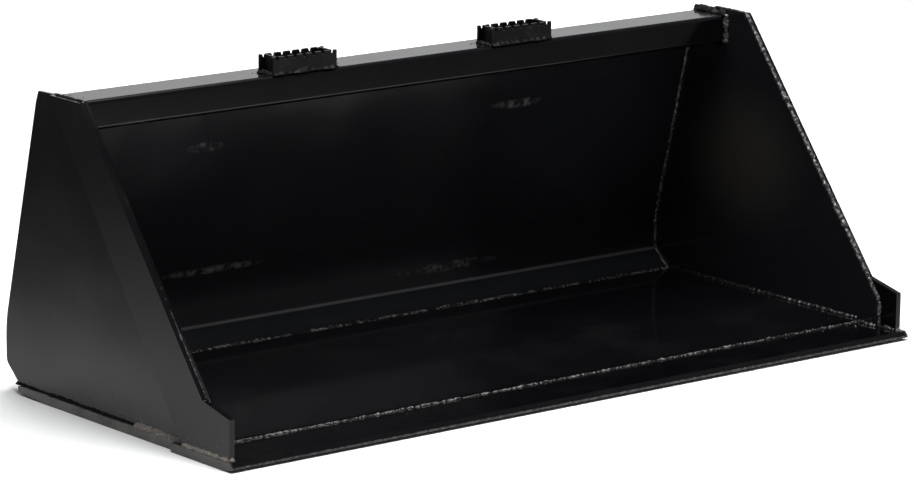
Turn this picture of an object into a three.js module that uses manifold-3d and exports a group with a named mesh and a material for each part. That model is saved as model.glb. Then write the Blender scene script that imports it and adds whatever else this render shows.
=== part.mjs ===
// Skid steer dirt bucket, 72 inches wide, as a weldment of separate plates, bars and a tube.
// Millimetres, +Z up, +X along the cutting edge, the mouth faces -Y.
// Inside this file Y is measured back from the front of the side cutters' feet and Z up from
// the top of the cutting edge; the finished group is moved so that its box stands on Z = 0.
import * as THREE from "three";
import { mergeVertices } from "three/addons/utils/BufferGeometryUtils.js";
import Module from "manifold-3d";

const wasm = await Module();
wasm.setup();

// Driving dimensions
const OVERALL_WIDTH = 1828.8; // across the side cutters' outer faces
const GAP = 0.3; // clearance between plates that are welded together
const SHEET = 6.35; // floor, back and side sheets
const CUTTER_THICKNESS = 12.7;
const EDGE_THICKNESS = 19.05;
const EDGE_OVERHANG = 7.6; // cutting edge past the side cutters
const EDGE_FRONT = -18;
const EDGE_REAR = 185;
const EDGE_BEVEL_RUN = 8;
const EDGE_BEVEL_DROP = 9;
const EDGE_LAND_BOTTOM = 13.5; // worn underside, from the front land back
const EDGE_UNDER_RUN = 40;
const FLOOR_FRONT = 112; // floor sheet lapped on the cutting edge from here back
const FLOOR_REAR = 733.4;
const SIDE_OVERHANG = 6; // side sheets past the back sheet's outer surface
const SIDE_TOP = 636.5;
const CUTTER_TOP = 634;
const SIDE_FRONT = 53; // vertical front edge of the side sheets, above the cutting edge
const SIDE_CORNER = 58; // height where that edge turns into the slope
const SIDE_TOP_FRONT = 508;
const SIDE_TOP_REAR = [671.5, 632]; // the top edge drops a little towards the rear

// Side cutter outline: a kinked foot on the cutting edge, then a bar along the slope
const CUTTER_FOOT = [0, 84];
const CUTTER_KINK = [90, 105];
const CUTTER_TOP_FRONT = 506;
const CUTTER_TOP_REAR = 612;
const CUTTER_REAR_FOOT = 158;

// Inner face of the back sheet, from its top edge down to the floor
const BACK_TOP = [668.1, 607];
const BACK_BEND = [783, 124];
const HEEL_BEND = [782, 47];
const HEEL_FOOT = [735, 6.65];
const BACK_BEND_RADIUS = 250;
const HEEL_BEND_RADIUS = 8;

// Top tube, 4 x 2 1/2 inches
const TUBE_DEPTH = 101.6;
const TUBE_HEIGHT = 63.5;
const TUBE_WALL = 4.8;
const TUBE_RADIUS = 9;
const TUBE_CORNER_STEPS = 5;
const TUBE_FRONT = 565.2;
const TUBE_TOP = 621.7;

// Serrated steps on the tube
const STEP_CENTRE = 296.5;
const STEP_LENGTH = 168;
const STEP_DEPTH = 52;
const STEP_HEIGHT = 38.1;
const STEP_BAR = 6.35;
const STEP_SETBACK = 3.3; // front bar behind the tube's front face
const STEP_END_INSET = 9; // end pieces inside the ends of the serrated bars
const TEETH_GAPS = 7;
const TEETH_PITCH = 24.3;
const NOTCH_TOP = 10;
const NOTCH_BOTTOM = 6;
const NOTCH_DEPTH = 7;

// Wear bars under the floor; the side sheets stand on the outer two
const WEAR_THICKNESS = 19.05;
const WEAR_WIDTH = 76.2;
const WEAR_OVERHANG = 10; // outer wear bars past the side sheets
const WEAR_REAR = 738;
const WEAR_END_THICKNESS = 11.5; // at the rear end, after a long taper
const WEAR_TAPER = 100;
const WEAR_INNER_X = 262;

// Quick-attach frame on the back, measured up the slope (u) and out from the back sheet (n).
// The mount plates fill the height between the two rails, so that their faces lie flush.
const MOUNT_HALF_WIDTH = 575;
const MOUNT_PLATE_WIDTH = 240;
const FRAME_PLATE = 9.5;
const HOOK_LEG_BOTTOM = 380;
const HOOK_TOP = 448.5;
const HOOK_ROOT = 435; // height where the lip meets the leg
const HOOK_REACH = 26; // run of the lip, down and out at 45 degrees
const HOOK_END_DROP = 42; // how far down the leg the end plates reach
const LEDGE_LEG_TOP = 125;
const LEDGE_ROOT = 58;
const LEDGE_LENGTH = 70;
const LEDGE_ANGLE = THREE.MathUtils.degToRad(30);
const LOCK_SLOT_X = 420;
const LOCK_SLOT_WIDTH = 64;
const LOCK_SLOT_DEPTH = 28;
const LOCK_SLOT_FROM_ROOT = 44;
const GUSSET_THICKNESS = 9.5;
const GUSSET_X = [360, 560];
const GUSSET_REACH = 52;
const GUSSET_BOTTOM = 16;
const HOOK_END_INSET = 3;

const BLACK = 0x101013;
const WORN_STEEL = 0x17140f;

const HALF_WIDTH = OVERALL_WIDTH / 2;
const SIDE_OUTER = HALF_WIDTH - CUTTER_THICKNESS - GAP;
const SIDE_INNER = SIDE_OUTER - SHEET;
const FLOOR_BOTTOM = GAP;
const FLOOR_TOP = FLOOR_BOTTOM + SHEET;
const BACK_ANGLE = Math.atan2(BACK_BEND[0] - BACK_TOP[0], BACK_TOP[1] - BACK_BEND[1]);

const bucket = new THREE.Group();

function paint(colour) {
  return new THREE.MeshStandardMaterial({ color: colour, roughness: 0.2, metalness: 0 });
}

function addMesh(parent, name, geometry, colour = BLACK) {
  const mesh = new THREE.Mesh(geometry, paint(colour));
  mesh.name = name;
  parent.add(mesh);
  return mesh;
}

function shapeOf(points) {
  return new THREE.Shape(points.map(([a, b]) => new THREE.Vector2(a, b)));
}

// A (y, z) outline, extruded along X from x0 to x1.
function alongX(shape, x0, x1, curveSegments = 1) {
  const options = { depth: x1 - x0, bevelEnabled: false, curveSegments };
  const geometry = new THREE.ExtrudeGeometry(shape, options);
  const basis = new THREE.Matrix4().makeBasis(
    new THREE.Vector3(0, 1, 0),
    new THREE.Vector3(0, 0, 1),
    new THREE.Vector3(1, 0, 0),
  );
  geometry.applyMatrix4(basis);
  return geometry.translate(x0, 0, 0);
}

// An (x, z) outline, extruded along Y from y0 to y1.
function alongY(shape, y0, y1) {
  const geometry = new THREE.ExtrudeGeometry(shape, { depth: y1 - y0, bevelEnabled: false });
  const basis = new THREE.Matrix4().makeBasis(
    new THREE.Vector3(1, 0, 0),
    new THREE.Vector3(0, 0, 1),
    new THREE.Vector3(0, -1, 0),
  );
  geometry.applyMatrix4(basis);
  return geometry.translate(0, y1, 0);
}

function block(low, high) {
  const size = high.map((value, i) => value - low[i]);
  const centre = high.map((value, i) => (value + low[i]) / 2);
  return new THREE.BoxGeometry(...size).translate(...centre);
}

function toSolid(geometry) {
  const bare = geometry.clone();
  bare.deleteAttribute("normal");
  bare.deleteAttribute("uv");
  const merged = mergeVertices(bare, 1e-4);
  const mesh = new wasm.Mesh({
    numProp: 3,
    vertProperties: new Float32Array(merged.attributes.position.array),
    triVerts: new Uint32Array(merged.index.array),
  });
  return new wasm.Manifold(mesh);
}

function toGeometry(solid) {
  const mesh = solid.getMesh();
  const geometry = new THREE.BufferGeometry();
  geometry.setAttribute("position", new THREE.BufferAttribute(mesh.vertProperties, 3));
  geometry.setIndex(new THREE.BufferAttribute(mesh.triVerts, 1));
  return geometry;
}

// The path moved sideways by a distance, to the right of its direction of travel, with mitred corners.
function offsetPath(path, distance) {
  const normals = path.slice(1).map((point, i) => {
    const along = new THREE.Vector2(point[0] - path[i][0], point[1] - path[i][1]).normalize();
    return new THREE.Vector2(along.y, -along.x);
  });
  return path.map((point, i) => {
    const before = normals[Math.max(i - 1, 0)];
    const after = normals[Math.min(i, normals.length - 1)];
    const mitre = before.clone().add(after).normalize();
    const reach = distance / mitre.dot(after);
    return [point[0] + mitre.x * reach, point[1] + mitre.y * reach];
  });
}

// The path with each inner corner rounded to its own radius.
function roundedPath(path, radii, steps = 6) {
  const points = [path[0]];
  radii.forEach((radius, i) => {
    const corner = new THREE.Vector2(...path[i + 1]);
    const back = new THREE.Vector2(...path[i]).sub(corner).normalize();
    const ahead = new THREE.Vector2(...path[i + 2]).sub(corner).normalize();
    const halfAngle = Math.acos(back.dot(ahead)) / 2;
    const toCentre = back.clone().add(ahead).normalize().multiplyScalar(radius / Math.sin(halfAngle));
    const centre = corner.clone().add(toCentre);
    const tangent = radius / Math.tan(halfAngle);
    const first = corner.clone().addScaledVector(back, tangent).sub(centre);
    const turn = Math.sign(first.cross(corner.clone().addScaledVector(ahead, tangent).sub(centre)));
    const sweep = turn * (Math.PI - 2 * halfAngle);
    for (let step = 0; step <= steps; step++) {
      const arm = first.clone().rotateAround(new THREE.Vector2(), (sweep * step) / steps);
      points.push([centre.x + arm.x, centre.y + arm.y]);
    }
  });
  points.push(path[path.length - 1]);
  return points;
}

// The back sheet's surface at a distance behind its inner face (negative is inside the bucket).
function backSurface(distance) {
  const corners = [BACK_TOP, BACK_BEND, HEEL_BEND, HEEL_FOOT];
  const path = offsetPath(corners, -distance);
  const radii = [BACK_BEND_RADIUS, HEEL_BEND_RADIUS].map((radius) => radius + distance);
  return roundedPath(path, radii);
}

// The back and floor sheets lie between the side sheets.
function addBackSheet() {
  const outline = [...backSurface(0), ...backSurface(SHEET).reverse()];
  const half = SIDE_INNER - GAP;
  addMesh(bucket, "back_sheet", alongX(shapeOf(outline), -half, half));
}

function addFloorSheet() {
  const half = SIDE_INNER - GAP;
  addMesh(
    bucket,
    "floor_sheet",
    block([-half, FLOOR_FRONT, FLOOR_BOTTOM], [half, FLOOR_REAR, FLOOR_TOP]),
  );
}

function addCuttingEdge() {
  const half = HALF_WIDTH + EDGE_OVERHANG;
  const outline = [
    [EDGE_FRONT, -EDGE_LAND_BOTTOM],
    [EDGE_FRONT + EDGE_UNDER_RUN, -EDGE_THICKNESS],
    [EDGE_REAR, -EDGE_THICKNESS],
    [EDGE_REAR, 0],
    [EDGE_FRONT + EDGE_BEVEL_RUN, 0],
    [EDGE_FRONT, -EDGE_BEVEL_DROP],
  ];
  addMesh(bucket, "cutting_edge", alongX(shapeOf(outline), -half, half), WORN_STEEL);
}

// Side sheets stand on the cutting edge and the outer wear bars, and close off the bucket's ends:
// their rear edges follow the back sheet, just outside its outer surface.
function addSideSheet(side, name) {
  const rear = backSurface(SHEET + SIDE_OVERHANG).reverse();
  const lowest = rear.findIndex(([, z]) => z > GAP);
  const [before, after] = [rear[lowest - 1], rear[lowest]];
  const share = (GAP - before[1]) / (after[1] - before[1]);
  const heel = before[0] + share * (after[0] - before[0]);
  const outline = [
    [SIDE_FRONT, GAP],
    [heel, GAP],
    ...rear.slice(lowest),
    SIDE_TOP_REAR,
    [SIDE_TOP_FRONT, SIDE_TOP],
    [SIDE_FRONT, SIDE_CORNER],
  ];
  const [x0, x1] = side < 0 ? [-SIDE_OUTER, -SIDE_INNER] : [SIDE_INNER, SIDE_OUTER];
  addMesh(bucket, name, alongX(shapeOf(outline), x0, x1));
}

// Side cutters: flat bars along the sloping front edges, with a foot on the cutting edge.
function addSideCutter(side, name) {
  const outline = [
    [0, GAP],
    [CUTTER_REAR_FOOT, GAP],
    [CUTTER_TOP_REAR, CUTTER_TOP],
    [CUTTER_TOP_FRONT, CUTTER_TOP],
    CUTTER_KINK,
    CUTTER_FOOT,
  ];
  const [x0, x1] = [HALF_WIDTH - CUTTER_THICKNESS, HALF_WIDTH];
  addMesh(bucket, name, alongX(shapeOf(outline), side < 0 ? -x1 : x0, side < 0 ? -x0 : x1));
}

function roundedRectangle(target, y0, z0, y1, z1, radius) {
  target.moveTo(y0 + radius, z0);
  target.lineTo(y1 - radius, z0);
  target.absarc(y1 - radius, z0 + radius, radius, -Math.PI / 2, 0, false);
  target.absarc(y1 - radius, z1 - radius, radius, 0, Math.PI / 2, false);
  target.absarc(y0 + radius, z1 - radius, radius, Math.PI / 2, Math.PI, false);
  target.absarc(y0 + radius, z0 + radius, radius, Math.PI, Math.PI * 1.5, false);
  return target;
}

function addTopTube() {
  const [y0, z0] = [TUBE_FRONT, TUBE_TOP - TUBE_HEIGHT];
  const [y1, z1] = [TUBE_FRONT + TUBE_DEPTH, TUBE_TOP];
  const outer = roundedRectangle(new THREE.Shape(), y0, z0, y1, z1, TUBE_RADIUS);
  const bore = [y0 + TUBE_WALL, z0 + TUBE_WALL, y1 - TUBE_WALL, z1 - TUBE_WALL];
  outer.holes.push(roundedRectangle(new THREE.Path(), ...bore, TUBE_RADIUS - TUBE_WALL));
  const half = SIDE_INNER - GAP;
  addMesh(bucket, "top_tube", alongX(outer, -half, half, TUBE_CORNER_STEPS));
}

// One serrated bar, from x0 to x0 + STEP_LENGTH, with its notches cut down from the top edge.
function serratedOutline(x0, z0) {
  const top = z0 + STEP_HEIGHT;
  const end = (STEP_LENGTH - (TEETH_GAPS - 1) * TEETH_PITCH) / 2;
  const points = [
    [x0, z0],
    [x0 + STEP_LENGTH, z0],
    [x0 + STEP_LENGTH, top],
  ];
  for (let i = TEETH_GAPS - 1; i >= 0; i--) {
    const centre = x0 + end + i * TEETH_PITCH;
    points.push([centre + NOTCH_TOP / 2, top]);
    points.push([centre + NOTCH_BOTTOM / 2, top - NOTCH_DEPTH]);
    points.push([centre - NOTCH_BOTTOM / 2, top - NOTCH_DEPTH]);
    points.push([centre - NOTCH_TOP / 2, top]);
  }
  points.push([x0, top]);
  return shapeOf(points);
}

function addStep(side, word) {
  const x0 = side * STEP_CENTRE - STEP_LENGTH / 2;
  const x1 = x0 + STEP_LENGTH;
  const z0 = TUBE_TOP + GAP;
  const y0 = TUBE_FRONT + STEP_SETBACK;
  const y1 = y0 + STEP_DEPTH;
  addMesh(
    bucket,
    `step_${word}_front_bar`,
    alongY(serratedOutline(x0, z0), y0, y0 + STEP_BAR),
  );
  addMesh(
    bucket,
    `step_${word}_rear_bar`,
    alongY(serratedOutline(x0, z0), y1 - STEP_BAR, y1),
  );
  const [endFront, endRear] = [y0 + STEP_BAR + GAP, y1 - STEP_BAR - GAP];
  const ends = [
    ["outer", side < 0 ? x0 + STEP_END_INSET : x1 - STEP_BAR - STEP_END_INSET],
    ["inner", side < 0 ? x1 - STEP_BAR - STEP_END_INSET : x0 + STEP_END_INSET],
  ];
  for (const [end, x] of ends)
    addMesh(
      bucket,
      `step_${word}_${end}_end`,
      block([x, endFront, z0], [x + STEP_BAR, endRear, z0 + STEP_HEIGHT]),
    );
}

function addWearBars() {
  const outer = SIDE_OUTER + WEAR_OVERHANG;
  const bars = [
    ["wear_bar_left", -outer],
    ["wear_bar_mid_left", -WEAR_INNER_X - WEAR_WIDTH],
    ["wear_bar_mid_right", WEAR_INNER_X],
    ["wear_bar_right", outer - WEAR_WIDTH],
  ];
  const outline = shapeOf([
    [EDGE_REAR + GAP, 0],
    [EDGE_REAR + GAP, -WEAR_THICKNESS],
    [WEAR_REAR - WEAR_TAPER, -WEAR_THICKNESS],
    [WEAR_REAR, -WEAR_END_THICKNESS],
    [WEAR_REAR, 0],
  ]);
  for (const [name, x] of bars)
    addMesh(bucket, name, alongX(outline, x, x + WEAR_WIDTH), WORN_STEEL);
}

function addMountPlate(frame, side, name) {
  const x0 = side < 0 ? -MOUNT_HALF_WIDTH : MOUNT_HALF_WIDTH - MOUNT_PLATE_WIDTH;
  addMesh(
    frame,
    name,
    block(
      [x0, 0, LEDGE_LEG_TOP + GAP],
      [x0 + MOUNT_PLATE_WIDTH, FRAME_PLATE, HOOK_LEG_BOTTOM - GAP],
    ),
  );
}

// Upper rail: a leg on the back sheet and a lip turned out and down at 45 degrees, so that the
// coupler's top edge goes up behind the lip.
function addHookRail(frame) {
  const step = FRAME_PLATE * Math.SQRT1_2;
  const tip = [FRAME_PLATE + HOOK_REACH, HOOK_ROOT - HOOK_REACH];
  const outer = [tip[0] + step, tip[1] + step];
  const outline = [
    [0, HOOK_LEG_BOTTOM],
    [FRAME_PLATE, HOOK_LEG_BOTTOM],
    [FRAME_PLATE, HOOK_ROOT],
    tip,
    outer,
    [outer[0] - (HOOK_TOP - outer[1]), HOOK_TOP],
    [0, HOOK_TOP],
  ];
  addMesh(
    frame,
    "hook_rail",
    alongX(shapeOf(outline), -MOUNT_HALF_WIDTH, MOUNT_HALF_WIDTH),
  );
  return tip;
}

// Lower rail: a leg on the back sheet and a sloping ledge with two slots for the lock wedges.
function addLockRail(frame) {
  const [cos, sin] = [Math.cos(LEDGE_ANGLE), Math.sin(LEDGE_ANGLE)];
  const low = [LEDGE_LENGTH * cos, LEDGE_ROOT - LEDGE_LENGTH * sin];
  const high = [low[0] + FRAME_PLATE * sin, low[1] + FRAME_PLATE * cos];
  const outline = [
    [0, LEDGE_ROOT],
    low,
    high,
    [FRAME_PLATE, high[1] + ((high[0] - FRAME_PLATE) * sin) / cos],
    [FRAME_PLATE, LEDGE_LEG_TOP],
    [0, LEDGE_LEG_TOP],
  ];
  let rail = toSolid(alongX(shapeOf(outline), -MOUNT_HALF_WIDTH, MOUNT_HALF_WIDTH));
  for (const x of [-LOCK_SLOT_X, LOCK_SLOT_X]) {
    const cutter = new THREE.BoxGeometry(LOCK_SLOT_WIDTH, LOCK_SLOT_DEPTH, LEDGE_LENGTH);
    cutter.rotateX(-LEDGE_ANGLE);
    cutter.translate(x, LOCK_SLOT_FROM_ROOT * cos, LEDGE_ROOT - LOCK_SLOT_FROM_ROOT * sin);
    rail = rail.subtract(toSolid(cutter));
  }
  addMesh(frame, "lock_rail", toGeometry(rail));
}

function addHookEnd(frame, tip, side, name) {
  const shy = GAP * 2;
  const outline = [
    [FRAME_PLATE + GAP, HOOK_ROOT - shy - GAP],
    [FRAME_PLATE + GAP, HOOK_ROOT - HOOK_END_DROP],
    [tip[0] - shy, tip[1] - shy - GAP],
  ];
  const x1 = MOUNT_HALF_WIDTH - HOOK_END_INSET;
  const x0 = x1 - GUSSET_THICKNESS;
  addMesh(frame, name, alongX(shapeOf(outline), side < 0 ? -x1 : x0, side < 0 ? -x0 : x1));
}

// Gussets that hold the ledge up from the back sheet.
function addLedgeGusset(frame, x, name) {
  const drop = (n) => LEDGE_ROOT - 2 * GAP - n * Math.tan(LEDGE_ANGLE);
  const outline = [
    [0, drop(0)],
    [0, GUSSET_BOTTOM],
    [GUSSET_REACH, drop(GUSSET_REACH) - FRAME_PLATE / 2],
    [GUSSET_REACH, drop(GUSSET_REACH)],
  ];
  const half = GUSSET_THICKNESS / 2;
  addMesh(frame, name, alongX(shapeOf(outline), x - half, x + half));
}

function addQuickAttachFrame() {
  const frame = new THREE.Group();
  const out = SHEET + GAP;
  frame.rotation.x = BACK_ANGLE;
  frame.position.set(
    0,
    BACK_BEND[0] + out * Math.cos(BACK_ANGLE),
    BACK_BEND[1] + out * Math.sin(BACK_ANGLE),
  );
  bucket.add(frame);
  addMountPlate(frame, -1, "mount_plate_left");
  addMountPlate(frame, 1, "mount_plate_right");
  const tip = addHookRail(frame);
  addHookEnd(frame, tip, -1, "hook_end_left");
  addHookEnd(frame, tip, 1, "hook_end_right");
  addLockRail(frame);
  const [inner, outer] = GUSSET_X;
  addLedgeGusset(frame, -outer, "ledge_gusset_left_outer");
  addLedgeGusset(frame, -inner, "ledge_gusset_left_inner");
  addLedgeGusset(frame, inner, "ledge_gusset_right_inner");
  addLedgeGusset(frame, outer, "ledge_gusset_right_outer");
}

addFloorSheet();
addBackSheet();
addSideSheet(-1, "side_sheet_left");
addSideSheet(1, "side_sheet_right");
addSideCutter(-1, "side_cutter_left");
addSideCutter(1, "side_cutter_right");
addCuttingEdge();
addTopTube();
addStep(-1, "left");
addStep(1, "right");
addWearBars();
addQuickAttachFrame();

// Origin at the centre of the box in X and Y, at its lowest face in Z.
bucket.updateMatrixWorld(true);
const box = new THREE.Box3().setFromObject(bucket, true);
bucket.position.set(0, -(box.min.y + box.max.y) / 2, -box.min.z);
bucket.name = "skid_steer_bucket";

export default bucket;
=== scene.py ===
"""A skid steer dirt bucket: glossy black paint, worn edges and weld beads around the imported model.

Everything is in metres. The side view has its own coordinates, as the bucket's design does: y runs
back from the front of the side cutters' feet and z runs up from the top of the cutting edge.
"""

import math
import random

import bmesh
import bpy
from mathutils import Matrix, Vector, noise


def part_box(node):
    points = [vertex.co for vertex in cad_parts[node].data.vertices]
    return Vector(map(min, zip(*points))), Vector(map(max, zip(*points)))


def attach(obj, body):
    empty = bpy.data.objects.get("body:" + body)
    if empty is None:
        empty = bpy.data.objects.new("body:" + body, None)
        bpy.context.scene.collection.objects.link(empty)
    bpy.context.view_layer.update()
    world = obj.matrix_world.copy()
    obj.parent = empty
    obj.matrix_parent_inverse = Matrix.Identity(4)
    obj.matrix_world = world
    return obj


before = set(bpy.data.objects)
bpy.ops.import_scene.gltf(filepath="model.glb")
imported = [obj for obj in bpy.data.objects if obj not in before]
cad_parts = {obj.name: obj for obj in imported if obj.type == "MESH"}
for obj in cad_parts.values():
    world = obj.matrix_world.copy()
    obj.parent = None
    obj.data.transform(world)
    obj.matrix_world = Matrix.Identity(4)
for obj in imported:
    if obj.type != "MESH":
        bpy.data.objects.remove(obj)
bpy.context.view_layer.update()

# ---- Places taken from the frame -------------------------------------------------------------
ORIGIN_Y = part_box("side_cutter_left")[0].y
ORIGIN_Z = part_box("cutting_edge")[1].z
SIDE_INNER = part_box("side_sheet_right")[0].x
SIDE_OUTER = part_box("side_sheet_right")[1].x
CUTTER_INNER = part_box("side_cutter_right")[0].x
CUTTER_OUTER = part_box("side_cutter_right")[1].x
TUBE_FRONT, TUBE_REAR = (corner.y - ORIGIN_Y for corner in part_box("top_tube"))
TUBE_BOTTOM, TUBE_TOP = (corner.z - ORIGIN_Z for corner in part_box("top_tube"))
WEAR_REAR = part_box("wear_bar_left")[1].y - ORIGIN_Y

# ---- The side view's outline -----------------------------------------------------------------
FLOOR_TOP = 0.00665
LAP_FRONT = 0.112
BACK_TOP = (0.6681, 0.607)
BACK_BEND = (0.783, 0.124)
HEEL_BEND = (0.782, 0.047)
HEEL_FOOT = (0.735, 0.00665)
BACK_BEND_RADIUS = 0.25
HEEL_BEND_RADIUS = 0.008
SIDE_FRONT = (0.053, 0.058)
SIDE_TOP_FRONT = (0.508, 0.6365)
CUTTER_KINK = (0.090, 0.105)
CUTTER_REAR_FOOT = (0.158, 0.0003)
CUTTER_REAR_TOP = (0.612, 0.634)
DUST_END = 0.335  # how far back the bead along the bottom is dusty instead of black
RIM_BEAD = (0.510, 0.610)  # where the bead along the top of each side starts and ends
LAND_WEAR = (-0.0172, -0.0180)  # the cutting edge's front land starts to be worn, and is fully worn
END_DUST = (0.001, 0.0068)  # the same for the dust on the edge's ends, out from the side cutters

# ---- Quick-attach frame, out from the back sheet (n) and up its slope (u) ---------------------
BACK_ANGLE = math.atan2(BACK_BEND[0] - BACK_TOP[0], BACK_TOP[1] - BACK_BEND[1])
BACK_THICKNESS = 0.00635
FRAME_HALF = 0.575
PLATE_INNER = 0.335
LOWER_LEG = (0.058, 0.125)
UPPER_LEG = (0.380, 0.4485)
LEDGE_ANGLE = math.radians(30)
GUSSETS = (-0.560, -0.360, 0.360, 0.560)
GUSSET_HALF = 0.00475
GUSSET_LOW = 0.016
GUSSET_REACH = 0.050
GUSSET_BEAD_TOP = LOWER_LEG[0] - 0.004
LEDGE_BEAD_ROOT = (0.004, LOWER_LEG[0] - 0.0035)

# ---- Camera ----------------------------------------------------------------------------------
VIEW_YAW = math.radians(39.40)
VIEW_PITCH = math.radians(12.70)
VIEW_ROLL = math.radians(0.75)
VIEW_LENS = 187.8
VIEW_DISTANCE = 10.14
VIEW_AIM = Vector((-0.0102, 0.4079, 0.2456))  # in the side view's coordinates

# ---- Studio ----------------------------------------------------------------------------------
WORLD_COLOUR = (0.95, 0.97, 1.0, 1)
WORLD_STRENGTH = 0.22
FLOOR_COLOUR = (0.80, 0.80, 0.80, 1)
FLOOR_HALF = 40
FLOOR_DROP = 0.0002  # keeps the floor clear of the steel that stands on it
OVERHEAD_PLACE = (1.9, 3.2)  # distance behind the bucket's middle and height
OVERHEAD_SIZE = (2.4, 7.0)
OVERHEAD_RADIANCE = 2.8
OVERHEAD_SPREAD = math.radians(75)
BACK_LIGHT_PLACE = (5.2, 1.8)
BACK_LIGHT_AIM = (0, 0, 0.5)
BACK_LIGHT_SIZE = (5.5, 1.4)
BACK_LIGHT_RADIANCE = 0.68

# ---- Weld beads ------------------------------------------------------------------------------
# size is how far a bead's toes lie from its line, crown how full it is, lumps how uneven, and
# pitch how far apart its sections are. Stitches also have ranges for their lengths and gaps.
BEADS = {
    "back_corner": dict(size=0.0092, lumps=0.4),
    "floor_side": dict(size=0.0062),
    "edge_side": dict(size=0.007),
    "lap": dict(size=0.0034, crown=1.1, lumps=0.5, pitch=0.0014),
    "heel": dict(size=0.0050, bead=(0.08, 0.30), gap=(0.01, 0.04), crown=1.3, lumps=0.5),
    "slope_left": dict(size=0.0036, crown=0.3, lumps=0.45),
    "slope_right": dict(size=0.0072, crown=0.75, lumps=0.45),
    "kink": dict(size=0.006),
    "sheet_front": dict(size=0.0055),
    "rim": dict(size=0.0035, lumps=0.25),
    "cutter_foot": dict(size=0.0058, crown=1.1, lumps=0.5),
    "cutter_nose": dict(size=0.0065, crown=1.1),
    "dusty_sheet": dict(size=0.0092, crown=1.0, lumps=0.35),
    "black_sheet": dict(size=0.0052, crown=1.0, lumps=0.6),
    "rear_corner": dict(size=0.0058),
    "cutter_rear": dict(size=0.008, crown=1.0, lumps=0.12),
    "tube_front": dict(size=0.0085, lumps=0.6),
    "tube_top": dict(size=0.0105, lumps=0.55),
    "tube_low": dict(size=0.007),
    "tube_back": dict(size=0.008, bead=(0.08, 0.14), gap=(0.03, 0.06), lumps=0.4),
    "step_outer": dict(size=0.0066, lumps=0.7, crown=1.1),
    "step_inner": dict(size=0.0055, lumps=0.6),
    "step_corner": dict(size=0.003, crown=0.35),
    "plate": dict(size=0.0075, pitch=0.0025),
    "plate_stitch": dict(size=0.0075, bead=(0.05, 0.09), gap=(0.02, 0.05), pitch=0.0025),
    "gusset": dict(size=0.005),
    "wear_side": dict(size=0.006, bead=(0.04, 0.07), gap=(0.05, 0.08), pitch=0.003),
    "wear_rear": dict(size=0.007),
}
SPATTER = {  # how many droplets, and how far out they mostly lie
    "back_corner": dict(count=26, reach=0.016),
    "floor_side": dict(count=30, reach=0.02),
    "lap": dict(count=50, reach=0.012),
    "dusty": dict(count=12, reach=0.012),
    "black": dict(count=30, reach=0.012),
    "tube": dict(count=14, reach=0.02),
    "step": dict(count=12, reach=0.008),
}
NOSE_GAP = 0.002  # the inner bead stops short of the cutter's front
SLOPE_SHIFT = 0.0008  # the right slope bead lies a little towards the cutter
SLOPE_BEAD_TOP = (0.003, -0.001)  # back and up from the side sheet's top front corner
CUTTER_OVERLAP = 0.004  # the sheet's dusty bead starts ahead of the cutter's rear foot
DUST_OVERLAP = 0.003  # the black bead starts ahead of the dusty bead's end
BEAD_PAST_WEAR = 0.02
SPATTER_LIFT = 0.004
TUBE_BEAD_RISE = 0.003  # the front bead goes up past the tube, and the top bead starts ahead of it
TUBE_BEAD_LEAD = 0.002
STEP_SEAM_ENDS = (0.004, 0.003)  # the corner seams stop above the foot and below the top
WEAR_SEAM_INSET = 0.01

UP = Vector((0, 0, 1))
FORWARD = Vector((0, -1, 0))
BACKWARD = Vector((0, 1, 0))
ACROSS = Vector((1, 0, 0))

rng = random.Random(72)


def at(x, y, z):
    """A point of the side view, at x across the bucket, in the frame."""
    return Vector((x, ORIGIN_Y + y, ORIGIN_Z + z))


BACK_OUT = Vector((0, math.cos(BACK_ANGLE), math.sin(BACK_ANGLE)))
BACK_UP = Vector((0, -math.sin(BACK_ANGLE), math.cos(BACK_ANGLE)))


def on_back(x, out, up):
    """A point on the back sheet's rear face, out from it and up its slope from the bend."""
    return at(x, *BACK_BEND) + BACK_OUT * (BACK_THICKNESS + out) + BACK_UP * up


# ---- Camera and studio -----------------------------------------------------------------------
def add_camera():
    forward = Vector(
        (
            math.sin(VIEW_YAW) * math.cos(VIEW_PITCH),
            math.cos(VIEW_YAW) * math.cos(VIEW_PITCH),
            -math.sin(VIEW_PITCH),
        )
    )
    level_right = Vector((math.cos(VIEW_YAW), -math.sin(VIEW_YAW), 0))
    level_up = level_right.cross(forward)
    right = level_right * math.cos(VIEW_ROLL) + level_up * math.sin(VIEW_ROLL)
    up = level_up * math.cos(VIEW_ROLL) - level_right * math.sin(VIEW_ROLL)
    data = bpy.data.cameras.new("camera")
    data.sensor_width = 36
    data.lens = VIEW_LENS
    data.clip_end = 200
    camera = bpy.data.objects.new("camera", data)
    camera.matrix_world = Matrix((right, up, -forward)).transposed().to_4x4()
    camera.location = at(*VIEW_AIM) - forward * VIEW_DISTANCE
    bpy.context.collection.objects.link(camera)
    bpy.context.scene.camera = camera


def add_area_light(name, place, aim, size, radiance, spin=0.0, spread=math.pi):
    """A rectangular softbox at a place, facing a point; a spread under pi puts a grid on it."""
    data = bpy.data.lights.new(name, "AREA")
    data.shape = "RECTANGLE"
    data.size, data.size_y = size
    data.energy = radiance * math.pi * size[0] * size[1]
    data.spread = spread
    light = bpy.data.objects.new(name, data)
    toward = Vector(aim) - Vector(place)
    turn = toward.to_track_quat("-Z", "Y") @ Matrix.Rotation(spin, 3, "Z").to_quaternion()
    light.rotation_mode = "QUATERNION"
    light.rotation_quaternion = turn
    light.location = place
    light.visible_camera = False
    bpy.context.collection.objects.link(light)


def along_view(distance, height):
    """A point at a distance behind the bucket's middle, as the camera sees it, and at a height."""
    return Vector((math.sin(VIEW_YAW) * distance, math.cos(VIEW_YAW) * distance, height))


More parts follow.
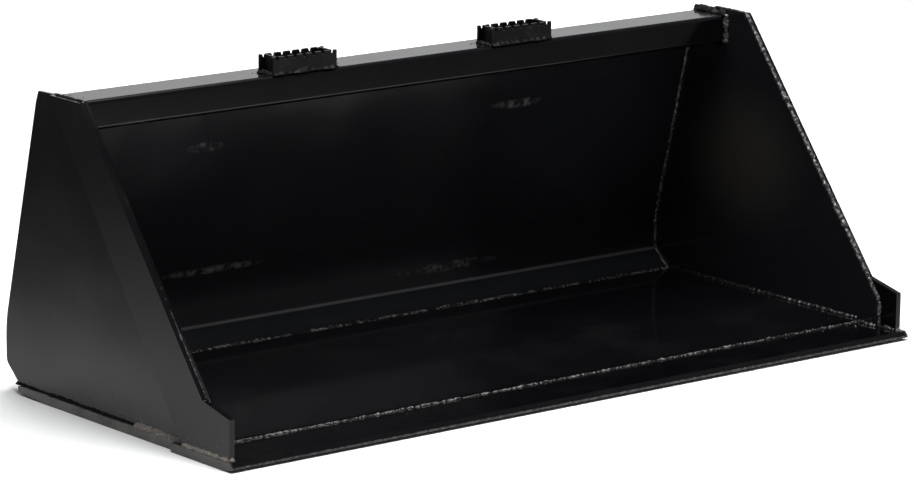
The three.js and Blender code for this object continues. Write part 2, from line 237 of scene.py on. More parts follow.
def add_studio():
    world = bpy.data.worlds.new("studio")
    bpy.context.scene.world = world
    world.use_nodes = True
    background = world.node_tree.nodes["Background"]
    background.inputs["Color"].default_value = WORLD_COLOUR
    background.inputs["Strength"].default_value = WORLD_STRENGTH

    floor_mesh = bpy.data.meshes.new("studio_floor")
    turns = ((-1, -1), (1, -1), (1, 1), (-1, 1))
    corners = [(FLOOR_HALF * x, FLOOR_HALF * y, 0) for x, y in turns]
    floor_mesh.from_pydata(corners, [], [(0, 1, 2, 3)])
    floor = bpy.data.objects.new("studio_floor", floor_mesh)
    floor.location.z = -FLOOR_DROP
    bpy.context.collection.objects.link(floor)
    material = bpy.data.materials.new("studio_floor")
    material.use_nodes = True
    surface = material.node_tree.nodes["Principled BSDF"]
    surface.inputs["Base Color"].default_value = FLOOR_COLOUR
    surface.inputs["Roughness"].default_value = 0.9
    surface.inputs["Specular IOR Level"].default_value = 0.1
    floor_mesh.materials.append(material)

    distance, height = OVERHEAD_PLACE
    add_area_light(
        "overhead_softbox",
        along_view(distance, height),
        along_view(distance, 0),
        OVERHEAD_SIZE,
        OVERHEAD_RADIANCE,
        -VIEW_YAW,
        OVERHEAD_SPREAD,
    )
    behind = along_view(*BACK_LIGHT_PLACE)
    add_area_light("back_softbox", behind, BACK_LIGHT_AIM, BACK_LIGHT_SIZE, BACK_LIGHT_RADIANCE)

    scene = bpy.context.scene
    scene.view_settings.view_transform = "Standard"
    scene.view_settings.look = "None"


# ---- Materials -------------------------------------------------------------------------------
def new_material(name):
    material = bpy.data.materials.new(name)
    material.use_nodes = True
    tree = material.node_tree
    return material, tree, tree.nodes["Principled BSDF"]


def add_node(tree, kind, **settings):
    node = tree.nodes.new(kind)
    for key, value in settings.items():
        if key in node.inputs:
            node.inputs[key].default_value = value
        else:
            setattr(node, key, value)
    return node


def map_range(tree, source, low, high, to_low=0.0, to_high=1.0):
    node = add_node(tree, "ShaderNodeMapRange", interpolation_type="SMOOTHSTEP")
    for key, value in zip(("From Min", "From Max", "To Min", "To Max"), (low, high, to_low, to_high)):
        node.inputs[key].default_value = value
    tree.links.new(source, node.inputs["Value"])
    return node.outputs["Result"]


def combine(tree, operation, a, b):
    node = add_node(tree, "ShaderNodeMath", operation=operation)
    tree.links.new(a, node.inputs[0])
    tree.links.new(b, node.inputs[1])
    return node.outputs["Value"]


def layer(tree, below, above, mask):
    """A colour painted over the colour below it, where the mask is 1. Both are colours or outputs."""
    node = add_node(tree, "ShaderNodeMix", data_type="RGBA")
    for key, colour in (("A", below), ("B", above)):
        if isinstance(colour, tuple):
            node.inputs[key].default_value = (*colour, 1)
        else:
            tree.links.new(colour, node.inputs[key])
    tree.links.new(mask, node.inputs["Factor"])
    return node.outputs["Result"]


def textures(tree, *settings):
    """Noise textures in the object's own metres."""
    place = add_node(tree, "ShaderNodeTexCoord")
    outputs = []
    for scale, detail, roughness in settings:
        texture = add_node(tree, "ShaderNodeTexNoise", Scale=scale, Detail=detail, Roughness=roughness)
        tree.links.new(place.outputs["Object"], texture.inputs["Vector"])
        outputs.append(texture.outputs["Fac"])
    return outputs


def patch(tree, centre, size):
    """1 at a point of the frame, falling to 0 at an ellipsoid of half-axes size around it."""
    place = add_node(tree, "ShaderNodeTexCoord")
    mapping = add_node(tree, "ShaderNodeMapping")
    mapping.inputs["Scale"].default_value = [1 / s for s in size]
    mapping.inputs["Location"].default_value = [-c / s for c, s in zip(centre, size)]
    length = add_node(tree, "ShaderNodeVectorMath", operation="LENGTH")
    tree.links.new(place.outputs["Object"], mapping.inputs["Vector"])
    tree.links.new(mapping.outputs["Vector"], length.inputs[0])
    return map_range(tree, length.outputs["Value"], 1.0, 0.2)


def bump_chain(tree, surface, *steps):
    """Bumps on the shader's normal, each a height output and a distance in metres."""
    normal = None
    for height, distance in steps:
        bump = add_node(tree, "ShaderNodeBump", Strength=1.0, Distance=distance)
        tree.links.new(height, bump.inputs["Height"])
        if normal:
            tree.links.new(normal, bump.inputs["Normal"])
        normal = bump.outputs["Normal"]
    tree.links.new(normal, surface.inputs["Normal"])


def gloss_paint(name, colour, roughness, dust=0.25, scuffs=(), painted_light=(), wave=0.0005, ior=1.5):
    """Black gloss enamel over rolled steel: faint waves, a fine orange peel, thin dust and, where
    they are given, pale scuffs and soft patches of painted reflection and highlight at places on the
    plate."""
    material, tree, surface = new_material(name)
    waves, peel, patches, grains, scratches = textures(
        tree, (4.0, 1.0, 0.5), (420.0, 2.0, 0.5), (4.0, 8.0, 0.65), (260.0, 4.0, 0.7), (45.0, 6.0, 0.75)
    )
    film = map_range(tree, patches, 0.48, 0.78, 0.0, dust)
    specks = map_range(tree, grains, 0.66, 0.74, 0.0, dust)
    paint = layer(tree, colour, (0.014, 0.013, 0.012), film)
    paint = layer(tree, paint, (0.09, 0.085, 0.08), specks)
    # Painted light: soft pale patches in the base colour that stand in for reflections and highlights.
    for centre, size, tone in painted_light:
        paint = layer(tree, paint, tone, patch(tree, at(*centre), size))
    for centre, size, strength in scuffs:
        spot = patch(tree, at(*centre), size)
        streaks = map_range(tree, scratches, 0.44, 0.62, 0.0, strength)
        paint = layer(tree, paint, (0.20, 0.20, 0.20), combine(tree, "MULTIPLY", spot, streaks))
    tree.links.new(paint, surface.inputs["Base Color"])
    gloss = map_range(tree, patches, 0.3, 0.8, roughness, roughness + 0.10)
    tree.links.new(gloss, surface.inputs["Roughness"])
    bump_chain(tree, surface, (waves, wave), (peel, 0.000008))
    surface.inputs["IOR"].default_value = ior
    return material


def edge_paint(name, colour):
    """Cutting edge: black paint, worn to grey along the front land and dusty on its two ends."""
    material, tree, surface = new_material(name)
    chips, patches, grains = textures(tree, (90.0, 6.0, 0.7), (9.0, 6.0, 0.6), (500.0, 3.0, 0.6))
    place = add_node(tree, "ShaderNodeTexCoord")
    axes = add_node(tree, "ShaderNodeSeparateXYZ")
    tree.links.new(place.outputs["Object"], axes.inputs["Vector"])
    front = map_range(tree, axes.outputs["Y"], *(ORIGIN_Y + y for y in LAND_WEAR))
    worn = combine(tree, "MULTIPLY", front, map_range(tree, chips, 0.46, 0.62))
    ends = add_node(tree, "ShaderNodeMath", operation="ABSOLUTE")
    tree.links.new(axes.outputs["X"], ends.inputs[0])
    dusty = map_range(tree, ends.outputs["Value"], *(CUTTER_OUTER + x for x in END_DUST))
    dusty = combine(tree, "MULTIPLY", dusty, map_range(tree, patches, 0.30, 0.60, 0.35, 0.9))
    film = map_range(tree, patches, 0.45, 0.75, 0.0, 0.1)
    paint = layer(tree, colour, (0.014, 0.013, 0.013), film)
    paint = layer(tree, paint, (0.062, 0.058, 0.055), dusty)
    paint = layer(tree, paint, (0.055, 0.055, 0.058), worn)
    tree.links.new(paint, surface.inputs["Base Color"])
    gloss = map_range(tree, patches, 0.3, 0.8, 0.07, 0.16)
    gloss = combine(tree, "MAXIMUM", gloss, map_range(tree, worn, 0, 1, 0, 0.4))
    tree.links.new(gloss, surface.inputs["Roughness"])
    surface.inputs["IOR"].default_value = 1.38
    bump_chain(tree, surface, (patches, 0.0006), (grains, 0.00003))
    return material


def worn_paint(name):
    """Wear bars: thin dusty paint over mill scale."""
    material, tree, surface = new_material(name)
    patches, grains = textures(tree, (14.0, 8.0, 0.65), (420.0, 4.0, 0.65))
    paint = layer(tree, (0.030, 0.030, 0.031), (0.105, 0.100, 0.095), map_range(tree, patches, 0.35, 0.65))
    paint = layer(tree, paint, (0.16, 0.14, 0.12), map_range(tree, grains, 0.58, 0.72, 0.0, 0.6))
    tree.links.new(paint, surface.inputs["Base Color"])
    tree.links.new(map_range(tree, patches, 0.3, 0.7, 0.30, 0.55), surface.inputs["Roughness"])
    bump_chain(tree, surface, (patches, 0.0005), (grains, 0.00004))
    return material


def step_paint(name, colour):
    """Plasma-cut bars under a thin coat: fine ridges and little gloss."""
    material, tree, surface = new_material(name)
    grain, patches = textures(tree, (300.0, 5.0, 0.7), (30.0, 5.0, 0.6))
    paint = layer(tree, colour, (0.012, 0.012, 0.012), map_range(tree, patches, 0.45, 0.75))
    tree.links.new(paint, surface.inputs["Base Color"])
    tree.links.new(map_range(tree, patches, 0.3, 0.7, 0.30, 0.5), surface.inputs["Roughness"])
    surface.inputs["Specular IOR Level"].default_value = 0.3
    bump_chain(tree, surface, (patches, 0.0005), (grain, 0.00012))
    return material


def weld_paint(name, colour, pale, roughness, gloss=0.5):
    """Weld metal under paint or dust: small pits and a tint that changes from ripple to ripple."""
    material, tree, surface = new_material(name)
    pits, tint = textures(tree, (900.0, 3.0, 0.5), (160.0, 4.0, 0.6))
    paint = layer(tree, colour, pale, map_range(tree, tint, 0.50, 0.66))
    surface.inputs["Specular IOR Level"].default_value = gloss
    tree.links.new(paint, surface.inputs["Base Color"])
    rough = map_range(tree, tint, 0.3, 0.7, roughness, roughness + 0.15)
    tree.links.new(rough, surface.inputs["Roughness"])
    bump_chain(tree, surface, (pits, 0.00018))
    return material


# ---- Geometry helpers ------------------------------------------------------------------------
def rounded_path(points, radii, steps=8):
    """A 2-D path with its inner corners rounded."""
    path = [Vector(points[0])]
    for before, corner, after, radius in zip(points, points[1:], points[2:], radii):
        corner = Vector(corner)
        back = (Vector(before) - corner).normalized()
        ahead = (Vector(after) - corner).normalized()
        half_angle = back.angle(ahead) / 2
        centre = corner + (back + ahead).normalized() * radius / math.sin(half_angle)
        first = corner + back * radius / math.tan(half_angle) - centre
        last = corner + ahead * radius / math.tan(half_angle) - centre
        sweep = math.atan2(first.x * last.y - first.y * last.x, first.dot(last))
        for step in range(steps + 1):
            path.append(centre + Matrix.Rotation(sweep * step / steps, 2) @ first)
    path.append(Vector(points[-1]))
    return path


def resample(path, pitch):
    """Points about a pitch apart along a polyline, each with its direction and its distance."""
    lengths = [(b - a).length for a, b in zip(path, path[1:])]
    total = sum(lengths)
    count = max(2, round(total / pitch))
    samples = []
    piece, start = 0, 0.0
    for i in range(count + 1):
        distance = total * i / count
        while piece < len(lengths) - 1 and distance > start + lengths[piece]:
            start += lengths[piece]
            piece += 1
        a, b = path[piece], path[piece + 1]
        direction = (b - a).normalized()
        samples.append((a + direction * (distance - start), direction, distance))
    return samples, total


class Welds:
    """Weld beads and spatter gathered into one mesh object."""

    ARC = 6
    ROOT = 0.0008  # how far a bead's root lies inside the metal
    BEAT, SWELL, SWAY = 0.011, 0.05, 0.02  # lengths over which a bead's width and lean wander
    RIPPLE, RIPPLE_HEIGHT = 0.0042, 0.10
    LEAN = 0.25
    GRAIN, GRAIN_HEIGHT = 420, 0.18
    DROP_SIDES = 7
    DROP_RINGS = ((-0.2, 1.0), (0.55, 0.75))  # height and width, in radii
    DROP_TOP = 0.9
    DROP_RADII = (0.0005, 0.0013)
    DROP_NEAREST = 0.008

    def __init__(self, name, material, slot="gloss_black_paint"):
        self.name, self.material, self.slot = name, material, slot
        self.vertices, self.faces = [], []

    def bead(self, path, sides, size, crown=1.15, lumps=0.35, pitch=0.0018, face=None):
        """A bead along a path. sides(direction) gives the unit vectors along the two faces that it
        joins, and size is how far its toes lie out along them. A bead on one flat face has its
        normal in face."""
        samples, total = resample([Vector(p) for p in path], pitch)
        offset = rng.uniform(0, 100)
        start = len(self.vertices)
        for point, direction, distance in samples:
            along_a, along_b = sides(direction)
            beat = noise.noise(Vector((distance / self.BEAT, offset, 0)))
            swell = noise.noise(Vector((distance / self.SWELL, offset, 7)))
            ripple = self.RIPPLE_HEIGHT * math.sin(distance / self.RIPPLE * math.tau + 4 * swell)
            scale = size * (1 + lumps * beat + 0.5 * lumps * swell + ripple)
            ends = min(distance, total - distance) / (0.8 * size)
            scale *= math.sqrt(max(0.02, min(1.0, ends * (2 - min(ends, 1.0)))))
            lean = self.LEAN * noise.noise(Vector((distance / self.SWAY, offset, 13)))
            toe_a = along_a * scale * (1 + lean)
            toe_b = along_b * scale * (1 - lean)
            chord = (toe_a + toe_b) / 2
            outward = face or (along_a + along_b).normalized()
            bulge = face * scale * crown if face else chord * crown
            control = bulge * 2 - chord
            self.vertices.append(point - outward * self.ROOT)
            for k in range(self.ARC + 1):
                u = k / self.ARC
                spot = toe_a * (1 - u) ** 2 + control * 2 * u * (1 - u) + toe_b * u**2
                grain = noise.noise((point + spot) * self.GRAIN + Vector((offset, 0, 0)))
                self.vertices.append(point + spot * (1 + self.GRAIN_HEIGHT * grain))
        ring = self.ARC + 2
        count = len(samples)
        for i in range(count - 1):
            for k in range(ring):
                a = start + i * ring + k
                b = start + i * ring + (k + 1) % ring
                self.faces.append((a, b, b + ring, a + ring))
        self.faces.append(tuple(start + k for k in range(ring)))
        self.faces.append(tuple(start + (count - 1) * ring + k for k in reversed(range(ring))))

    def flat_bead(self, path, normal, across, size, crown, **options):
        """A bead that lies on a face, its toes out to both sides of its line."""
        across = Vector(across).normalized()
        face = Vector(normal).normalized()
        self.bead(path, lambda direction: (across, -across), size, crown, face=face, **options)

    def corner_bead(self, path, along_a, along_b, size, **options):
        pair = (Vector(along_a).normalized(), Vector(along_b).normalized())
        self.bead(path, lambda direction: pair, size, **options)

    def stitches(self, start, end, along_a, along_b, size, bead, gap, **options):
        """Short beads along a line, with ranges for their lengths and for the gaps between."""
        total = (end - start).length
        direction = (end - start) / total
        x = rng.uniform(0, gap[0])
        while x < total - bead[0] / 2:
            stop = min(x + rng.uniform(*bead), total)
            path = [start + direction * x, start + direction * stop]
            self.corner_bead(path, along_a, along_b, size, **options)
            x = stop + rng.uniform(*gap)

    def drop(self, point, normal, radius):
        """A droplet of spatter on a face."""
        side = normal.orthogonal().normalized()
        other = normal.cross(side)
        start = len(self.vertices)
        n = self.DROP_SIDES
        for height, width in self.DROP_RINGS:
            for k in range(n):
                turn = math.tau * k / n
                arm = side * math.cos(turn) + other * math.sin(turn)
                self.vertices.append(point + normal * height * radius + arm * width * radius)
        self.vertices.append(point + normal * self.DROP_TOP * radius)
        for k in range(n):
            a, b = start + k, start + (k + 1) % n
            self.faces.append((a, b, b + n, a + n))
            self.faces.append((a + n, b + n, start + 2 * n))
        self.faces.append(tuple(start + k for k in reversed(range(n))))

    def spatter(self, start, end, away, normal, count, reach):
        """Droplets beside a line, thinning out away from it, on the face with a normal."""
        for _ in range(count):
            spot = start.lerp(end, rng.random())
            spot += away * (self.DROP_NEAREST + rng.expovariate(1 / reach))
            self.drop(spot, normal, rng.uniform(*self.DROP_RADII))

    def finish(self):
        mesh = bpy.data.meshes.new(self.name)
        mesh.from_pydata(self.vertices, [], self.faces)
        tidy = bmesh.new()
        tidy.from_mesh(mesh)
        bmesh.ops.recalc_face_normals(tidy, faces=tidy.faces)
        tidy.to_mesh(mesh)
        tidy.free()
        mesh.polygons.foreach_set("use_smooth", [True] * len(mesh.polygons))
        mesh.materials.append(self.material)
        piece = bpy.data.objects.new(self.name, mesh)
        bpy.context.collection.objects.link(piece)
        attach(piece, "root")


# ---- Carried-over plates ---------------------------------------------------------------------
def dress_plates(materials):
    """Paint, rounded edges and smooth bends on the nodes of the frame."""
    for name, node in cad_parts.items():
        if name == "cutting_edge":
            material = materials["edge"]
        elif name.startswith("wear_bar"):
            material = materials["worn"]
        elif name.startswith("step"):
            material = materials["step"]
        elif name in materials:
            material = materials[name]
        else:
            material = materials["paint"]
        node.data.materials.clear()
        node.data.materials.append(material)
        node.data.polygons.foreach_set("use_smooth", [True] * len(node.data.polygons))
        bevel = node.modifiers.new("edge_rounding", "BEVEL")
        bevel.width = 0.0012
        bevel.segments = 2
        bevel.limit_method = "ANGLE"
        bevel.angle_limit = math.radians(40)
        bevel.harden_normals = True


# ---- Welds -----------------------------------------------------------------------------------
def back_path(out=0.0):
    """The back sheet's inner surface in the side view, or a surface farther out."""
    corners = [BACK_TOP, BACK_BEND, HEEL_BEND, HEEL_FOOT]
    path = rounded_path(corners, [BACK_BEND_RADIUS, HEEL_BEND_RADIUS])
    shifted = []
    for i, point in enumerate(path):
        along = (path[min(i + 1, len(path) - 1)] - path[max(i - 1, 0)]).normalized()
        shifted.append(point + Vector((-along.y, along.x)) * out)
    return shifted


def inside_welds(materials):
    """The seams that are seen from the mouth."""
    corners = Welds("weld_back_corners", materials["slope_weld"])
    welds = Welds("weld_inside", materials["weld"])
    for side in (-1, 1):
        wall = side * SIDE_INNER
        inner = Vector((-side, 0, 0))
        seam = [at(wall, y, z) for y, z in back_path()]
        corners.bead(seam, lambda t: ((-t.cross(ACROSS)).normalized(), inner), **BEADS["back_corner"])
        floor_seam = [at(wall, HEEL_FOOT[0], FLOOR_TOP), at(wall, LAP_FRONT, FLOOR_TOP)]
        welds.corner_bead(floor_seam, UP, inner, **BEADS["floor_side"])
        sheet_foot = [at(wall, LAP_FRONT, 0), at(wall, SIDE_FRONT[0], 0)]
        welds.corner_bead(sheet_foot, UP, inner, **BEADS["edge_side"])
        foot = side * CUTTER_INNER
        cutter_foot = [at(foot, SIDE_FRONT[0], 0), at(foot, NOSE_GAP, 0)]
        welds.corner_bead(cutter_foot, UP, inner, **BEADS["edge_side"])
        welds.spatter(seam[0], seam[3], inner, FORWARD, **SPATTER["back_corner"])
        welds.spatter(*floor_seam, inner, UP, **SPATTER["floor_side"])
    corners.finish()
    welds.finish()


def lap_weld(materials):
    """The seam where the floor sheet laps on the cutting edge."""
    welds = Welds("weld_lap", materials["lap_weld"])
    ends = [at(-SIDE_INNER, LAP_FRONT, 0), at(SIDE_INNER, LAP_FRONT, 0)]
    welds.corner_bead(ends, UP, FORWARD, **BEADS["lap"])
    welds.spatter(*ends, FORWARD, UP, **SPATTER["lap"])
    welds.finish()


def heel_weld(materials):
    """Stitches between the floor sheet and the back sheet's heel."""
    welds = Welds("weld_heel", materials["lap_weld"])
    heel = Vector((0, HEEL_BEND[0] - HEEL_FOOT[0], HEEL_BEND[1] - HEEL_FOOT[1])).normalized()
    ends = [at(side * SIDE_INNER, *HEEL_FOOT) for side in (-1, 1)]
    welds.stitches(*ends, heel, FORWARD, **BEADS["heel"])
    welds.finish()


def slope_welds(materials):
    """Beads where the side cutters are welded to the front edges of the side sheets."""
    left = Welds("weld_slope_left", materials["weld"])
    right = Welds("weld_slope_right", materials["slope_weld"])
    slope = Vector((0, SIDE_TOP_FRONT[0] - SIDE_FRONT[0], SIDE_TOP_FRONT[1] - SIDE_FRONT[1]))
    normal = slope.cross(ACROSS).normalized()
    normal = -normal if normal.z < 0 else normal
    for side, welds, kind, shift in ((-1, left, "slope_left", 0), (1, right, "slope_right", SLOPE_SHIFT)):
        inner = Vector((-side, 0, 0))
        x = side * (CUTTER_INNER + shift)
        top = at(x, SIDE_TOP_FRONT[0] + SLOPE_BEAD_TOP[0], SIDE_TOP_FRONT[1] + SLOPE_BEAD_TOP[1])
        welds.flat_bead([top, at(x, *CUTTER_KINK)], normal, ACROSS, **BEADS[kind])
        corner = side * CUTTER_INNER
        kink = [at(corner, *CUTTER_KINK), at(corner, *SIDE_FRONT)]
        welds.corner_bead(kink, normal, inner, **BEADS["kink"])
        down = [at(corner, *SIDE_FRONT), at(corner, SIDE_FRONT[0], 0)]
        welds.corner_bead(down, FORWARD, inner, **BEADS["sheet_front"])
        rim = [at(side * SIDE_OUTER, y, CUTTER_REAR_TOP[1]) for y in RIM_BEAD]
        welds.corner_bead(rim, UP, -inner, **BEADS["rim"])
        welds.finish()


def outside_welds(materials):
    """Seams on the outer faces: along the bottom, up the back sheet's ends and behind the cutters."""
    dusty = Welds("weld_bottom_front", materials["dusty_weld"], "dusty_weld")
    black = Welds("weld_outside", materials["rough_weld"])
    for side in (-1, 1):
        outer = Vector((side, 0, 0))
        sheet, bar = side * SIDE_OUTER, side * CUTTER_OUTER
        front = [at(bar, 0.0, 0), at(bar, CUTTER_REAR_FOOT[0], 0)]
        dusty.corner_bead(front, UP, outer, **BEADS["cutter_foot"])
        nose = [at(side * CUTTER_INNER, 0, 0), at(bar, 0, 0)]
        dusty.corner_bead(nose, UP, FORWARD, **BEADS["cutter_nose"])
        middle = [at(sheet, CUTTER_REAR_FOOT[0] - CUTTER_OVERLAP, 0), at(sheet, DUST_END, 0)]
        dusty.corner_bead(middle, UP, outer, **BEADS["dusty_sheet"])
        lift = UP * SPATTER_LIFT
        for start, end in (front, middle):
            dusty.spatter(start + lift, end + lift, UP, outer, **SPATTER["dusty"])
        rear = [at(sheet, DUST_END - DUST_OVERLAP, 0), at(sheet, WEAR_REAR + BEAD_PAST_WEAR, 0)]
        black.corner_bead(rear, UP, outer, **BEADS["black_sheet"])
        black.spatter(*rear, UP, outer, **SPATTER["black"])
        rear_seam = [at(side * SIDE_INNER, y, z) for y, z in back_path(BACK_THICKNESS)]
        black.bead(rear_seam, lambda t: (t.cross(ACROSS).normalized(), -outer), **BEADS["rear_corner"])
        rear_edge = [at(sheet, *CUTTER_REAR_FOOT), at(sheet, *CUTTER_REAR_TOP)]
        along = (rear_edge[1] - rear_edge[0]).normalized()
        behind = along.cross(ACROSS)
        behind = behind if behind.y > 0 else -behind
        black.corner_bead(rear_edge, behind, outer, **BEADS["cutter_rear"])
    dusty.finish()
    black.finish()


def tube_welds(materials):
    """Beads round the top tube's ends, and stitches between the tube and the back sheet."""
    welds = Welds("weld_tube", materials["rough_weld"])
    fronts = Welds("weld_tube_front", materials["slope_weld"])
    for side in (-1, 1):
        wall = side * SIDE_INNER
        inner = Vector((-side, 0, 0))
        front = [at(wall, TUBE_FRONT, z) for z in (TUBE_BOTTOM, TUBE_TOP + TUBE_BEAD_RISE)]
        fronts.corner_bead(front, FORWARD, inner, **BEADS["tube_front"])
        top = [at(wall, y, TUBE_TOP) for y in (TUBE_FRONT - TUBE_BEAD_LEAD, TUBE_REAR)]
        welds.corner_bead(top, UP, inner, **BEADS["tube_top"])
        low = [at(wall, TUBE_FRONT, TUBE_BOTTOM), at(wall, TUBE_REAR, TUBE_BOTTOM)]
        welds.corner_bead(low, -UP, inner, **BEADS["tube_low"])
        welds.spatter(*top, inner, UP, **SPATTER["tube"])
    start, end = (at(side * SIDE_INNER, TUBE_REAR, BACK_TOP[1]) for side in (-1, 1))
    welds.stitches(start, end, UP, BACKWARD, **BEADS["tube_back"])
    welds.finish()
    fronts.finish()


def step_welds(materials):
    """Rough fillets round the feet of the steps."""
    welds = Welds("weld_steps", materials["rough_weld"])
    for word in ("left", "right"):
        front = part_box(f"step_{word}_front_bar")
        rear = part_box(f"step_{word}_rear_bar")
        x0, x1 = front[0].x, front[1].x
        y0, y1 = front[0].y, rear[1].y
        base, thick = front[0].z, front[1].y - front[0].y
        corners = [Vector((x, y, base)) for x, y in ((x0, y0), (x1, y0), (x1, y1), (x0, y1))]
        outward = [FORWARD, ACROSS, BACKWARD, -ACROSS]
        for start, end, out in zip(corners, corners[1:] + corners[:1], outward):
            welds.corner_bead([start, end], UP, out, **BEADS["step_outer"])
            shift = -out * thick
            welds.corner_bead([start + shift, end + shift], UP, -out, **BEADS["step_inner"])
            welds.spatter(start, end, out, UP, **SPATTER["step"])
        low, high = base + STEP_SEAM_ENDS[0], front[1].z - STEP_SEAM_ENDS[1]
        for x, out in ((x0, -ACROSS), (x1, ACROSS)):
            for y, toward in ((front[1].y, BACKWARD), (rear[0].y, FORWARD)):
                path = [Vector((x, y, low)), Vector((x, y, high))]
                welds.flat_bead(path, out, toward, **BEADS["step_corner"])
    welds.finish()


def attach_welds(materials):
    """Seams of the quick-attach frame on the back."""
    welds = Welds("weld_quick_attach", materials["weld"])
    for side in (-1, 1):
        outer = Vector((side, 0, 0))
        edge = side * FRAME_HALF
        whole = [on_back(edge, 0, LOWER_LEG[0]), on_back(edge, 0, UPPER_LEG[1])]
        welds.corner_bead(whole, BACK_OUT, outer, **BEADS["plate"])
        inner = side * PLATE_INNER
        plate = [on_back(inner, 0, LOWER_LEG[1]), on_back(inner, 0, UPPER_LEG[0])]
        welds.corner_bead(plate, BACK_OUT, -outer, **BEADS["plate"])
    for up, toward, half in (
        (UPPER_LEG[1], BACK_UP, FRAME_HALF),
        (UPPER_LEG[0], -BACK_UP, PLATE_INNER),
        (LOWER_LEG[1], BACK_UP, PLATE_INNER),
    ):
        ends = [on_back(-half, 0, up), on_back(half, 0, up)]
        welds.stitches(*ends, toward, BACK_OUT, **BEADS["plate_stitch"])
    ledge = (BACK_OUT * math.cos(LEDGE_ANGLE) - BACK_UP * math.sin(LEDGE_ANGLE)).normalized()
    beneath = (-BACK_UP * math.cos(LEDGE_ANGLE) - BACK_OUT * math.sin(LEDGE_ANGLE)).normalized()
    for x in GUSSETS:
        for turn in (-1, 1):
            face = x + turn * GUSSET_HALF
            sideways = ACROSS * turn
            root = [on_back(face, 0, GUSSET_LOW), on_back(face, 0, GUSSET_BEAD_TOP)]
            welds.corner_bead(root, BACK_OUT, sideways, **BEADS["gusset"])
            start = on_back(face, *LEDGE_BEAD_ROOT)
            along_ledge = [start, start + ledge * GUSSET_REACH]
            welds.corner_bead(along_ledge, beneath, sideways, **BEADS["gusset"])
    welds.finish()


def wear_bar_welds(materials):
    """Seams under the floor, beside and behind the wear bars."""
    welds = Welds("weld_wear_bars", materials["weld"])
    for name in ("wear_bar_left", "wear_bar_mid_left", "wear_bar_mid_right", "wear_bar_right"):
        low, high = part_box(name)
        top = high.z
        for x, out in ((low.x, -ACROSS), (high.x, ACROSS)):
            if abs(x) < SIDE_INNER:
                ends = [Vector((x, y, top)) for y in (low.y + WEAR_SEAM_INSET, high.y - WEAR_SEAM_INSET)]
                welds.stitches(*ends, -UP, out, **BEADS["wear_side"])
        sides = (max(low.x, -SIDE_OUTER), min(high.x, SIDE_OUTER))
        span = [Vector((x, high.y, top)) for x in sides]
        welds.corner_bead(span, -UP, BACKWARD, **BEADS["wear_rear"])
    welds.finish()


# ---- Finishes --------------------------------------------------------------------------------
BLACK = (0.0018, 0.0018, 0.0024)
INSIDE_BLACK = (0.0074, 0.0076, 0.0092)
EVERYWHERE = 9  # a half-axis longer than the bucket
HEEL_MIDDLE = (0, 0.765, 0.030)
# Where the painted highlight along the heel's crease lies.
CREASE_HIGHLIGHT = (0, HEEL_BEND[0] - 0.001, HEEL_BEND[1])
# Pale marks in the paint: a place as x and the side view's y and z, half-axes, and a strength or
# a tone. Scuffs are streaks. Painted light is soft: painted reflections and highlights for light the
# softboxes leave out.
BACK_SCUFFS = (
    ((0.400, 0.704, 0.454), (0.085, 0.06, 0.013), 1.0),
    ((-0.457, 0.704, 0.457), (0.060, 0.06, 0.014), 1.0),
    ((-0.388, 0.772, 0.170), (0.17, 0.05, 0.012), 0.55),
    ((0.271, 0.783, 0.087), (0.17, 0.05, 0.014), 0.45),
)
# Painted light on the back sheet's inner face: pale patches that stand in for reflections and highlights.
BACK_PAINTED_LIGHT = (
    # A painted reflection at the upper left.
    ((-0.560, 0.700, 0.470), (0.26, 0.20, 0.16), (0.020, 0.019, 0.022)),
    # A paler band of painted light along the heel, across the whole width.
    (HEEL_MIDDLE, (EVERYWHERE, 0.05, 0.05), (0.016, 0.017, 0.020)),
    # A paler patch of painted light on the right.
    ((0.620, 0.720, 0.350), (0.40, 0.20, 0.30), (0.013, 0.0135, 0.016)),
    # A painted highlight along the heel's crease, across the whole width.
    (CREASE_HIGHLIGHT, (EVERYWHERE, 0.006, 0.005), (0.08, 0.08, 0.08)),
)
# A painted reflection: a soft pale patch on the right side sheet's inner face.
RIGHT_PAINTED_REFLECTION = (((SIDE_INNER, 0.510, 0.310), (0.1, 0.26, 0.20), (0.020, 0.019, 0.017)),)
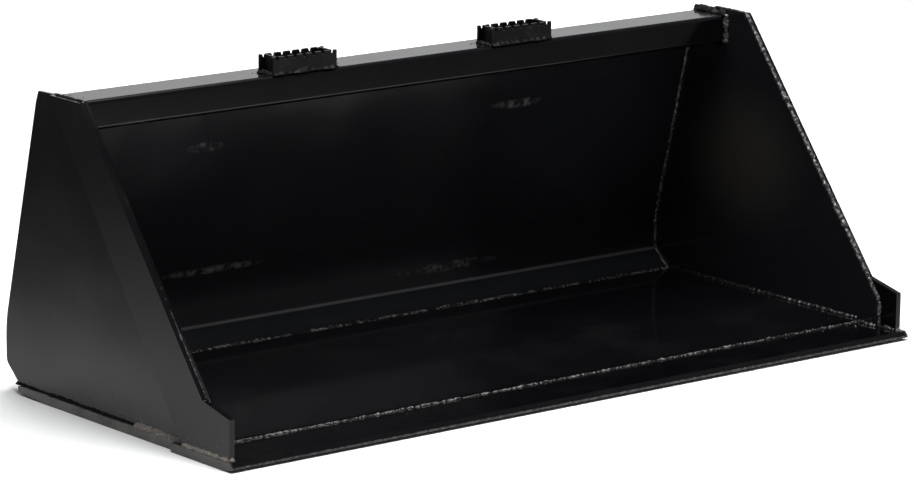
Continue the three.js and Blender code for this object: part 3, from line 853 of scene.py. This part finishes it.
# A painted reflection of the floor: the left side sheet's outer face paler towards the bottom.
LEFT_PAINTED_FLOOR_REFLECTION = (((-SIDE_OUTER, 0.42, 0.01), (0.1, 0.75, 0.24), (0.036, 0.035, 0.037)),)
TUBE_SCUFFS = (((-0.720, TUBE_FRONT, TUBE_BOTTOM + 0.004), (0.10, 0.03, 0.010), 0.12),)
materials = {
    "paint": gloss_paint("black_gloss_paint", BLACK, 0.06, dust=0.30, wave=0.0016, ior=1.32),
    "side_sheet_left": gloss_paint(
        "left_side_paint", BLACK, 0.08, dust=0.9, painted_light=LEFT_PAINTED_FLOOR_REFLECTION, wave=0.0050, ior=1.27
    ),
    "side_sheet_right": gloss_paint(
        "right_side_paint", INSIDE_BLACK, 0.08, dust=0.2, painted_light=RIGHT_PAINTED_REFLECTION
    ),
    "floor_sheet": gloss_paint("floor_paint", BLACK, 0.06, dust=0.2),
    "back_sheet": gloss_paint(
        "back_sheet_paint", INSIDE_BLACK, 0.14, dust=0.12, scuffs=BACK_SCUFFS, painted_light=BACK_PAINTED_LIGHT
    ),
    "top_tube": gloss_paint("tube_paint", BLACK, 0.10, dust=0.15, scuffs=TUBE_SCUFFS, ior=1.38),
    "edge": edge_paint("cutting_edge_paint", (0.0012, 0.0012, 0.0016)),
    "worn": worn_paint("wear_bar_paint"),
    "step": step_paint("step_paint", (0.0014, 0.0014, 0.0016)),
    "weld": weld_paint("painted_weld", (0.003, 0.003, 0.0035), (0.014, 0.014, 0.015), 0.22),
    "rough_weld": weld_paint(
        "rough_weld", (0.0010, 0.0010, 0.0012), (0.0045, 0.0045, 0.005), 0.45, gloss=0.12
    ),
    "lap_weld": weld_paint("lap_weld_paint", (0.010, 0.010, 0.010), (0.24, 0.24, 0.24), 0.20),
    "slope_weld": weld_paint("slope_weld_paint", (0.014, 0.014, 0.015), (0.20, 0.20, 0.20), 0.22),
    "dusty_weld": weld_paint("dusty_weld", (0.14, 0.123, 0.108), (0.34, 0.31, 0.27), 0.6),
}

add_camera()
add_studio()
dress_plates(materials)
inside_welds(materials)
lap_weld(materials)
heel_weld(materials)
slope_welds(materials)
outside_welds(materials)
tube_welds(materials)
step_welds(materials)
attach_welds(materials)
wear_bar_welds(materials)

bpy.context.view_layer.update()
